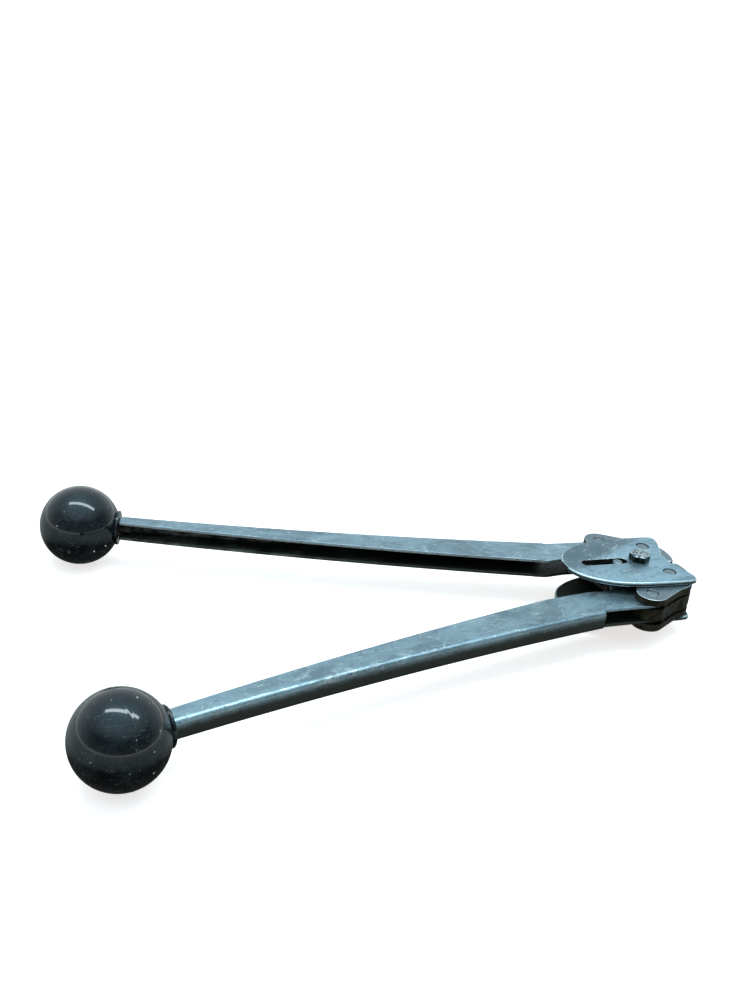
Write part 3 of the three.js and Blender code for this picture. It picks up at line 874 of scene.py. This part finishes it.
def joggle(mesh, up):
    """Presses the lug inward by its own thickness and a gap, between the tail pivot and the slide pivot."""
    depth = 2.2
    start, end = 17.8, 22.2
    cuts = 9
    tail = Vector(JOINT["handle_rear_pivot"]["pos_m"]).xy / MM
    slide_low, slide_high = box("slide_pin")
    slide = ((slide_low + slide_high) / 2).xy
    towards = (slide - tail).normalized()
    bm = bmesh.new()
    bm.from_mesh(mesh)
    for k in range(cuts + 1):
        place = tail + towards * (start + (end - start) * k / cuts)
        geometry = bm.verts[:] + bm.edges[:] + bm.faces[:]
        bmesh.ops.bisect_plane(
            bm, geom=geometry, dist=1e-5, plane_co=(*place, 0), plane_no=(*towards, 0)
        )
    for vertex in bm.verts:
        share = ((vertex.co.xy - tail).dot(towards) - start) / (end - start)
        share = min(1, max(0, share))
        vertex.co.z -= up * depth * share * share * (3 - 2 * share)
    bm.to_mesh(mesh)
    bm.free()
    return mesh


def channel_mesh(side):
    """A whole handle. The front one is the rear one's mirror image, with its lugs pressed inward."""
    flanges = [flange_mesh(True), flange_mesh(False)]
    if side == "front":
        for mesh, up in zip(flanges, (1, -1)):
            joggle(mesh, up)
    mesh = joined_mesh(f"channel_{side}", [web_mesh(), *flanges])
    if side == "front":
        mesh.transform(Matrix.Diagonal((1, -1, 1, 1)))
        mesh.flip_normals()
    return mesh


def is_inside(centre, normal):
    """True for a face that looks into the channel, and for the cut edges of its flanges."""
    height = centre.z - MIDDLE
    if abs(normal.z) < 0.4:
        return normal.y * centre.y < -0.4 * abs(centre.y)
    return abs(height) < FLANGE_HIGH - SHEET + 0.1 and normal.z * height < 0


def is_web_inside(centre, normal):
    height = abs(centre.z - MIDDLE)
    return is_inside(centre, normal) and abs(normal.z) < 0.4 and height < FLANGE_HIGH - SHEET


def is_free_edge(centre, normal):
    """True for the cut edge of the upper flange: rubbed bright, and painted brighter as a highlight line."""
    return centre.z - MIDDLE > FLANGE_HIGH - SHEET and normal.y * centre.y < -0.7 * abs(centre.y)


def knob_profile():
    """Half the outline of a knob: the ball with its moulding line, the neck, the boss and the bore."""
    boss, boss_end = 10.5, 23.8
    bore, bottom = 5.3, 8.5
    ridge_height, ridge_width = 0.07, 0.42
    last = math.degrees(math.acos(boss / KNOB_RADIUS))
    steps = 120
    ball = []
    for k in range(steps + 1):
        angle = math.radians(-90 + (last + 90) * k / steps)
        ridge = ridge_height * math.exp(-((angle * KNOB_RADIUS / ridge_width) ** 2))
        radius = KNOB_RADIUS + ridge
        ball.append(Vector((radius * math.cos(angle), radius * math.sin(angle))))
    ball[0].x = 0
    neck = Vector((boss - 0.5, ball[-1].y + 0.25))
    corners = [Vector((boss, ball[-1].y + 0.9)), Vector((boss, boss_end)), Vector((bore, boss_end))]
    rest = filleted([neck, *corners, Vector((bore, bottom)), Vector((0, bottom))], 0.7, closed=False)
    return ball[:-1] + rest


INSERT_BORE, INSERT_RADIUS, INSERT_LOW, INSERT_HIGH = 3.4, 5.0, 8.8, 23.6
STUD = {"radius": 3.15, "pitch": 1.27, "low": 9.2, "high": 31, "smooth_from": 26, "chamfer": 0.7}


def make_handles():
    """Both channels with their knobs. A knob, its insert and its stud are made about Z and laid down."""
    insert_corners = (
        (INSERT_BORE, INSERT_LOW),
        (INSERT_RADIUS, INSERT_LOW),
        (INSERT_RADIUS, INSERT_HIGH),
        (INSERT_BORE, INSERT_HIGH),
    )
    for side in SIDES:
        materials = (CHANNEL_ZINC[side], GREASE_AND_SHADE, LIT_FILM_AND_SHADE, FREE_EDGE)
        channel = stand_for(f"handle_{side}_channel", channel_mesh(side), *materials)
        # Painted shade inside the channel, and on the web's inner face a lighter painted shade, as if lit.
        paint_faces(channel, 1, is_inside)
        paint_faces(channel, 2, is_web_inside)
        # A painted highlight, with rubbing, on the upper flange's cut edge.
        paint_faces(channel, 3, is_free_edge)
        shade(channel)
        mirror = -1 if side == "front" else 1
        lie = Matrix.Rotation(math.radians(90), 4, "Y")
        aim = Matrix.Rotation(math.radians(-HANDLE_SLOPE * mirror), 4, "Z")
        to_knob = Matrix.Translation((KNOB_CENTRE.x, KNOB_CENTRE.y * mirror, MIDDLE)) @ aim @ lie
        knob = turned_mesh("knob", knob_profile(), 160)
        insert = turned_mesh("insert", filleted([Vector(p) for p in insert_corners], 0.25))
        stud = threaded_mesh("stud", **STUD)
        for node, mesh, material in (
            (f"ball_knob_{side}", knob, KNOB[side]),
            (f"knob_insert_{side}", insert, BRASS),
            (f"knob_stud_{side}", stud, STUD_STEEL),
        ):
            mesh.transform(to_knob)
            shade(stand_for(node, mesh, material))


# ---------------------------------------------------------------- stage, light and camera

def make_floor():
    """A pale floor that glows a little, so that it is evenly lit, and that no polished face mirrors."""
    half_width, drop = 30, -0.12 * MM
    bm = bmesh.new()
    bmesh.ops.create_grid(bm, x_segments=8, y_segments=8, size=half_width)
    floor = bpy.data.objects.new("floor", mesh_of(bm, "floor"))
    bpy.context.scene.collection.objects.link(floor)
    floor.location.z = drop
    look = Look("floor")
    colour = look.mix((0.86, 0.86, 0.85), (0.89, 0.88, 0.87), look.noise(220, detail=2))
    glow = {"Emission_Color": (1.0, 0.96, 0.94, 1), "Emission_Strength": 0.72}
    floor.data.materials.append(look.finish(colour, 0.9, 0.0, Specular_IOR_Level=0.0, **glow))
    floor.visible_glossy = False


SKY_STRENGTH = 5.0  # a ramp holds no colour above 1
DARK_BELOW, DIM_BELOW, GREY_BELOW = (0.030, 0.030, 0.028), (0.28, 0.33, 0.33), (0.45, 0.52, 0.55)
HORIZON = (1.1, 1.1, 1.1)
SKY_BELOW = [(0.0, DARK_BELOW), (0.175, DARK_BELOW), (0.29, DIM_BELOW), (0.485, GREY_BELOW)]
SKY_BELOW += [(0.492, HORIZON), (0.517, HORIZON)]
SKY_ABOVE = [(0.86, (0.50, 0.65, 0.74)), (0.95, (0.62, 0.94, 1.10)), (1.0, (0.70, 1.06, 1.26))]
SKY_BEHIND = [*SKY_BELOW, (0.527, (0.60, 0.65, 0.68)), (0.75, (0.52, 0.62, 0.67)), *SKY_ABOVE]
SKY_BEFORE = [*SKY_BELOW, (0.527, (0.14, 0.15, 0.15)), (0.75, (0.13, 0.18, 0.21)), *SKY_ABOVE]


def sky_ramp(nodes, links, height, stops):
    """The sky's colour at each height of the direction looked in: 0 straight down, 0.5 level, 1 overhead."""
    ramp = nodes.new("ShaderNodeValToRGB")
    links.new(height, ramp.inputs["Fac"])
    for place, _ in stops[1:-1]:
        ramp.color_ramp.elements.new(place)
    for element, (place, colour) in zip(ramp.color_ramp.elements, stops):
        element.position = place
        element.color = (*(channel / SKY_STRENGTH for channel in colour), 1)
    return ramp.outputs["Color"]


def make_sky():
    """A soft studio: bright behind the tool, dim in front, dark below and white at the horizon."""
    world = bpy.data.worlds.new("studio")
    bpy.context.scene.world = world
    world.use_nodes = True
    nodes, links = world.node_tree.nodes, world.node_tree.links
    direction = nodes.new("ShaderNodeTexCoord")
    split = nodes.new("ShaderNodeSeparateXYZ")
    links.new(direction.outputs["Generated"], split.inputs["Vector"])
    height = nodes.new("ShaderNodeMapRange")
    height.inputs["From Min"].default_value = -1.0
    links.new(split.outputs["Z"], height.inputs["Value"])
    height = height.outputs["Result"]
    back_share = nodes.new("ShaderNodeMapRange")
    back_share.interpolation_type = "SMOOTHSTEP"
    links.new(split.outputs["Y"], back_share.inputs["Value"])
    back_share.inputs["From Min"].default_value = -0.5
    back_share.inputs["From Max"].default_value = 0.6
    mix = nodes.new("ShaderNodeMix")
    mix.data_type = "RGBA"
    links.new(back_share.outputs["Result"], mix.inputs["Factor"])
    links.new(sky_ramp(nodes, links, height, SKY_BEFORE), mix.inputs[6])
    links.new(sky_ramp(nodes, links, height, SKY_BEHIND), mix.inputs[7])
    links.new(mix.outputs[2], nodes["Background"].inputs["Color"])
    nodes["Background"].inputs["Strength"].default_value = SKY_STRENGTH


def make_lamp():
    """A long narrow lamp above the tool, in metres and watts."""
    lamp = bpy.data.lights.new("lamp", "AREA")
    lamp.shape = "RECTANGLE"
    lamp.size, lamp.size_y = 1.6, 0.18
    lamp.energy = 8.5
    lamp.color = (0.90, 0.98, 1.0)
    holder = bpy.data.objects.new("lamp", lamp)
    holder.location = (0.0, 0.05, 1.3)
    holder.rotation_euler.z = math.radians(-19.7)
    bpy.context.scene.collection.objects.link(holder)


def make_camera():
    """Yaw is to the right of +Y, pitch is below the horizon, and roll is about the line of sight."""
    yaw, pitch, roll = math.radians(19.74), math.radians(24.40), math.radians(-6.06)
    place = Vector((-214.3, -556.7, 354.0)) * MM
    camera = bpy.data.objects.new("camera", bpy.data.cameras.new("camera"))
    camera.data.lens = 42.53
    camera.data.sensor_width = 36
    camera.data.clip_start = 0.01
    turn_to = Matrix.Rotation(-yaw, 4, "Z") @ Matrix.Rotation(math.radians(90) - pitch, 4, "X")
    camera.matrix_world = Matrix.Translation(place) @ turn_to @ Matrix.Rotation(-roll, 4, "Z")
    bpy.context.scene.collection.objects.link(camera)
    bpy.context.scene.camera = camera
    bpy.context.scene.view_settings.view_transform = "Standard"


make_camera()
make_sky()
make_lamp()
make_floor()
make_side_plates()
make_bolt()
make_pins()
make_jaws()
make_handles()
